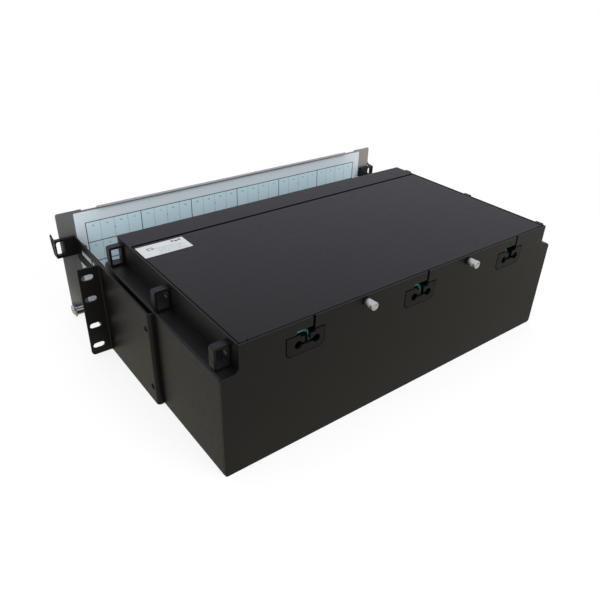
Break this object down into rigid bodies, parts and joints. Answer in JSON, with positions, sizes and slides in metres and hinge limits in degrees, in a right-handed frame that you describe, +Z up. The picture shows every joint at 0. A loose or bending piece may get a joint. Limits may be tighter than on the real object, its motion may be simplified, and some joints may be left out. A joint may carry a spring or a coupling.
{
  "type": "fibre patch panel",
  "caption": "Rack-mounted steel box that ends and patches optical fibres, with lift-off cover, rear cable grommets, stand-off ears and a drop-down front door.",
  "frame": {"origin": "underside of the floor, midway between the sides, in the plane of the ears' rear faces", "axes": "+X to the right seen from the front, +Y to the rear, +Z up"},
  "size_m": [0.4826, 0.3419, 0.1302],
  "materials": {
    "black_coat": "satin black powder coat on steel sheet",
    "door_coat": "smooth grey coat on steel sheet",
    "zinc": "bright zinc plate",
    "satin_nickel": "satin nickel plate, straight knurl",
    "black_nylon": "moulded black nylon",
    "black_zinc": "black zinc plate",
    "aqua_plastic": "aqua moulded plastic of multimode fibre parts",
    "cap_plastic": "translucent white caps",
    "tray_plastic": "dark moulded plastic",
    "printed_paper": "white film with thin printed lines and plain numbers"
  },
  "bodies": {
    "root": {"housing": "black_coat", "rear_panel": "black_coat", "front_frame": "black_coat", "ear_bracket_left": "black_coat", "ear_bracket_right": "black_coat", "bracket_screws": "black_zinc", "bracket_spacers": "zinc", "bracket_nuts": "zinc", "hinge_pins": "zinc", "cord_guide_left": "black_nylon", "cord_guide_right": "black_nylon", "door_magnet_left": "zinc", "door_magnet_right": "zinc", "ring_screws": "black_zinc", "thumbscrew_collars": "black_nylon", "dust_caps": "cap_plastic", "splice_trays_left": "tray_plastic", "splice_trays_right": "tray_plastic", "tray_lids": "tray_plastic", "tray_studs": "zinc", "tray_nuts": "zinc", "tie_rail": "black_coat", "pigtail_loops": "aqua_plastic", "cable_ring_left_front": "black_nylon", "cable_ring_left_middle": "black_nylon", "cable_ring_left_rear": "black_nylon", "cable_ring_right_front": "black_nylon", "cable_ring_right_middle": "black_nylon", "cable_ring_right_rear": "black_nylon", "cable_grommet_1": "black_nylon", "cable_grommet_2": "black_nylon", "cable_grommet_3": "black_nylon", "adaptor_column_1": "aqua_plastic", "adaptor_column_2": "aqua_plastic", "adaptor_column_3": "aqua_plastic", "adaptor_column_4": "aqua_plastic", "adaptor_column_5": "aqua_plastic", "adaptor_column_6": "aqua_plastic"},
    "door": {"front_door": "door_coat", "label_sheet": "printed_paper"},
    "cover": {"top_cover": "black_coat", "cover_label": "printed_paper"},
    "screw_left": {"thumbscrew_left": "satin_nickel"},
    "screw_right": {"thumbscrew_right": "satin_nickel"}
  },
  "joints": [
    {"name": "door_hinge", "type": "hinge", "parent": "root", "child": "door", "pos_m": [0, -0.0873, 0.0095], "axis": [1, 0, 0], "range_deg": [0, 90]},
    {"name": "cover_lift", "type": "slide", "parent": "root", "child": "cover", "axis": [0, 0, 1], "range_m": [0, 0.06]},
    {"name": "thumbscrew_left_travel", "type": "slide", "parent": "root", "child": "screw_left", "axis": [0, 1, 0], "range_m": [0, 0.006]},
    {"name": "thumbscrew_right_travel", "type": "slide", "parent": "root", "child": "screw_right", "axis": [0, 1, 0], "range_m": [0, 0.006]}
  ]
}
